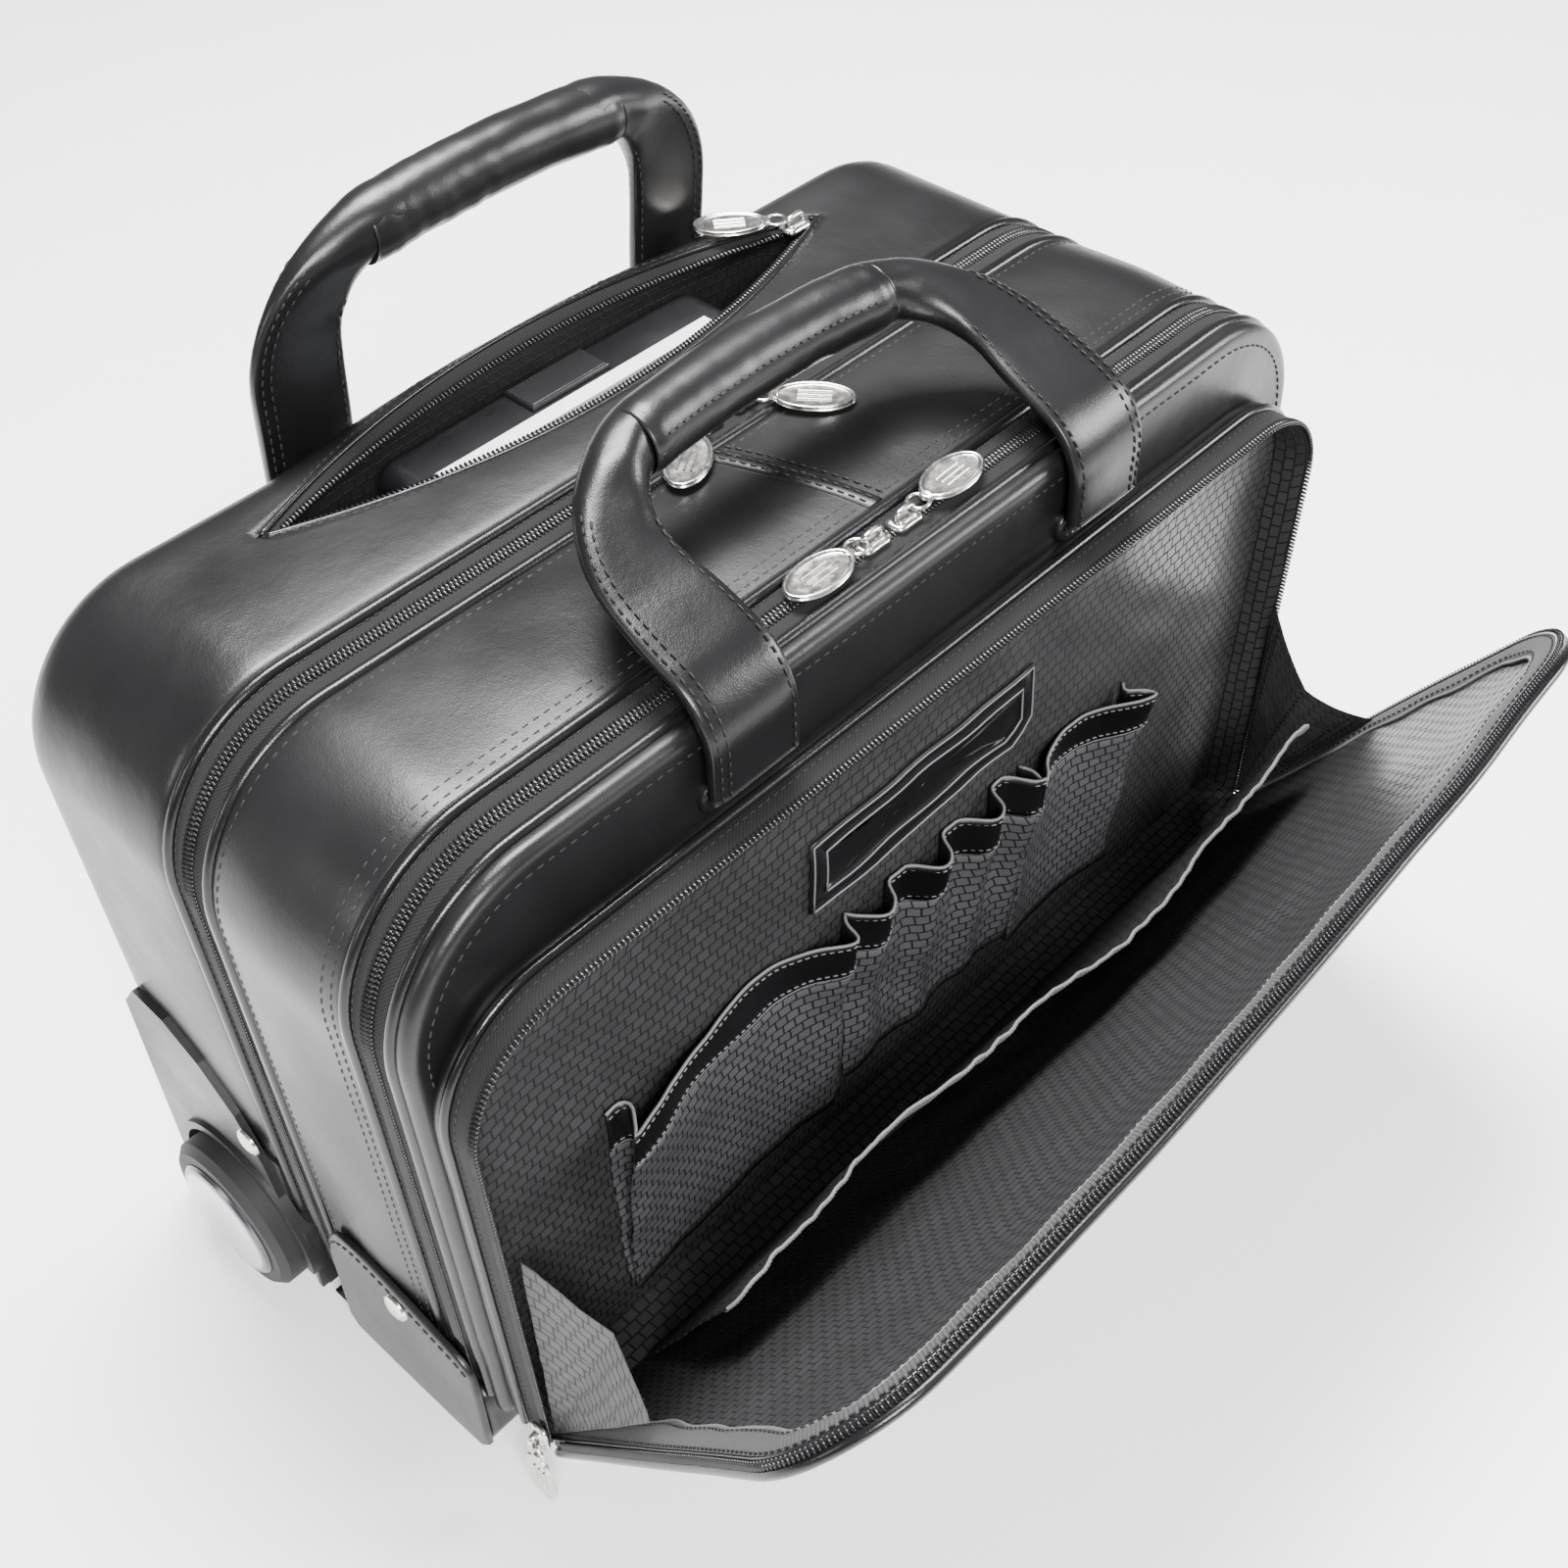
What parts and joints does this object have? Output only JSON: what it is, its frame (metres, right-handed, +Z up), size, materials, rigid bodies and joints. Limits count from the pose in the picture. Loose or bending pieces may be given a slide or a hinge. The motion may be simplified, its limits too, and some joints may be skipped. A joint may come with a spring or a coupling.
{
  "type": "rolling laptop case",
  "caption": "Soft-sided wheeled laptop case with a telescopic handle, two carry handles, zipped compartments and an open front organizer flap.",
  "frame": {"origin": "middle of the bounding box, on the floor", "axes": "+Z up, front with the organizer flap faces -Y, +X to the right seen from the front"},
  "size_m": [0.4716, 0.3598, 0.3778],
  "materials": {
    "leather": "smooth, soft sheen",
    "lining": "ripstop weave",
    "zip": "knit tape with coil teeth",
    "plastic": "satin",
    "rubber": "matt",
    "hub": "metallic silver",
    "steel": "satin",
    "alloy": "satin",
    "nickel": "polished nickel",
    "strip": "silver",
    "soft_grip": "wrapped and stitched"
  },
  "bodies": {
    "case": {"rear_shell": "leather", "rear_zip_track": "zip", "trolley_lining_wall": "lining", "base_panel": "plastic", "wheel_housings": "plastic", "wheel_axles": "steel", "corner_guard_right": "plastic", "corner_guard_left": "plastic", "bottom_wraps": "leather", "front_feet": "plastic", "snap_studs": "nickel", "zip_1_rear_half": "zip", "zip_1_rear_piping": "leather", "trolley_outer_tubes": "alloy", "rear_handle_feet": "leather"},
    "middle_section": {"middle_band": "leather", "middle_divider": "lining", "middle_pipings": "leather", "zip_1_middle_half": "zip", "zip_2_middle_half": "zip"},
    "front_section": {"front_panel": "leather", "zip_2_front_half": "zip", "zip_2_front_piping": "leather", "organizer_wall": "leather", "organizer_piping": "leather", "organizer_zip_half": "zip", "organizer_pockets": "lining", "sleeve_divider": "lining", "front_handle_feet": "leather", "gusset_left": "lining", "gusset_right": "lining"},
    "flap": {"organizer_flap": "leather", "flap_border": "lining", "flap_zip_half": "zip"},
    "wheel_left": {"tyre_left": "rubber", "hub_left": "hub"},
    "wheel_right": {"tyre_right": "rubber", "hub_right": "hub"},
    "trolley_stage_1": {"trolley_tubes_1": "alloy"},
    "trolley_stage_2": {"trolley_tubes_2": "alloy"},
    "trolley_stage_3": {"trolley_tubes_3": "alloy", "trolley_grip": "plastic", "trolley_grip_strip": "strip"},
    "release_button": {"release_button": "plastic"},
    "rear_handle": {"rear_handle_straps": "leather", "rear_handle_grip": "soft_grip"},
    "front_handle": {"front_handle_straps": "leather", "front_handle_grip": "soft_grip"},
    "zip_1_left_slider": {"zip_1_left_slider": "nickel"},
    "zip_1_left_pull": {"zip_1_left_pull": "nickel"},
    "zip_1_right_slider": {"zip_1_right_slider": "nickel"},
    "zip_1_right_pull": {"zip_1_right_pull": "nickel"},
    "zip_2_left_slider": {"zip_2_left_slider": "nickel"},
    "zip_2_left_pull": {"zip_2_left_pull": "nickel"},
    "zip_2_right_slider": {"zip_2_right_slider": "nickel"},
    "zip_2_right_pull": {"zip_2_right_pull": "nickel"},
    "rear_zip_slider": {"rear_zip_slider": "nickel"},
    "rear_zip_pull": {"rear_zip_pull": "nickel"},
    "organizer_slider": {"organizer_slider": "nickel"},
    "organizer_pull": {"organizer_pull": "nickel"}
  },
  "joints": [
    {"name": "middle_open", "type": "hinge", "parent": "case", "child": "middle_section", "pos_m": [0, 0.0731, 0.045], "axis": [1, 0, 0], "range_deg": [0, 8]},
    {"name": "front_open", "type": "hinge", "parent": "middle_section", "child": "front_section", "pos_m": [0, -0.0119, 0.044], "axis": [1, 0, 0], "range_deg": [0, 25]},
    {"name": "flap_fold", "type": "hinge", "parent": "front_section", "child": "flap", "pos_m": [0, -0.0529, 0.043], "axis": [1, 0, 0], "range_deg": [-35, 0], "deforming": ["gusset_left", "gusset_right", "sleeve_divider"]},
    {"name": "wheel_left_spin", "type": "hinge", "parent": "case", "child": "wheel_left", "pos_m": [-0.219, 0.1151, 0.034], "axis": [1, 0, 0], "continuous": true},
    {"name": "wheel_right_spin", "type": "hinge", "parent": "case", "child": "wheel_right", "pos_m": [0.219, 0.1151, 0.034], "axis": [1, 0, 0], "continuous": true},
    {"name": "trolley_1_slide", "type": "slide", "parent": "case", "child": "trolley_stage_1", "axis": [0, 0, 1], "range_m": [0, 0.2]},
    {"name": "trolley_2_slide", "type": "slide", "parent": "trolley_stage_1", "child": "trolley_stage_2", "axis": [0, 0, 1], "range_m": [0, 0.2]},
    {"name": "trolley_3_slide", "type": "slide", "parent": "trolley_stage_2", "child": "trolley_stage_3", "axis": [0, 0, 1], "range_m": [0, 0.2]},
    {"name": "release_button_press", "type": "slide", "parent": "trolley_stage_3", "child": "release_button", "axis": [0, 0, -1], "range_m": [0, 0.003], "stiffness_N_per_m": 700},
    {"name": "rear_handle_swing", "type": "hinge", "parent": "case", "child": "rear_handle", "pos_m": [0, 0.1765, 0.284], "axis": [1, 0, 0], "range_deg": [-168, 0]},
    {"name": "front_handle_swing", "type": "hinge", "parent": "front_section", "child": "front_handle", "pos_m": [0, -0.0363, 0.276], "axis": [1, 0, 0], "range_deg": [0, 118]},
    {"name": "zip_1_left_slide", "type": "slide", "parent": "case", "child": "zip_1_left_slider", "axis": [-1, 0, 0], "range_m": [0, 0.15]},
    {"name": "zip_1_left_pull_swing", "type": "hinge", "parent": "zip_1_left_slider", "child": "zip_1_left_pull", "pos_m": [0.005, 0.0731, 0.302], "axis": [-0.5299, 0.848, 0], "range_deg": [0, 100]},
    {"name": "zip_1_right_slide", "type": "slide", "parent": "case", "child": "zip_1_right_slider", "axis": [1, 0, 0], "range_m": [0, 0.135]},
    {"name": "zip_1_right_pull_swing", "type": "hinge", "parent": "zip_1_right_slider", "child": "zip_1_right_pull", "pos_m": [0.023, 0.0731, 0.302], "axis": [-0.788, -0.6157, 0], "range_deg": [0, 35]},
    {"name": "zip_2_left_slide", "type": "slide", "parent": "middle_section", "child": "zip_2_left_slider", "axis": [-1, 0, 0], "range_m": [0, 0.15]},
    {"name": "zip_2_left_pull_swing", "type": "hinge", "parent": "zip_2_left_slider", "child": "zip_2_left_pull", "pos_m": [-0.006, -0.0119, 0.302], "axis": [-0.0175, 0.9998, 0], "range_deg": [0, 100]},
    {"name": "zip_2_right_slide", "type": "slide", "parent": "middle_section", "child": "zip_2_right_slider", "axis": [1, 0, 0], "range_m": [0, 0.145]},
    {"name": "zip_2_right_pull_swing", "type": "hinge", "parent": "zip_2_right_slider", "child": "zip_2_right_pull", "pos_m": [0.01, -0.0119, 0.302], "axis": [0.0523, -0.9986, 0], "range_deg": [0, 100]},
    {"name": "rear_zip_slide", "type": "slide", "parent": "case", "child": "rear_zip_slider", "axis": [-1, 0, 0], "range_m": [0, 0.24]},
    {"name": "rear_zip_pull_swing", "type": "hinge", "parent": "rear_zip_slider", "child": "rear_zip_pull", "pos_m": [0.121, 0.1381, 0.3024], "axis": [0.6428, 0.766, 0], "range_deg": [0, 100]},
    {"name": "organizer_slide", "type": "slide", "parent": "front_section", "child": "organizer_slider", "axis": [-0.0254, 0, 0.9997], "range_m": [0, 0.15]},
    {"name": "organizer_pull_swing", "type": "hinge", "parent": "organizer_slider", "child": "organizer_pull", "pos_m": [-0.21835, -0.0483, 0.052], "axis": [0, 1, 0], "range_deg": [0, 120]}
  ]
}
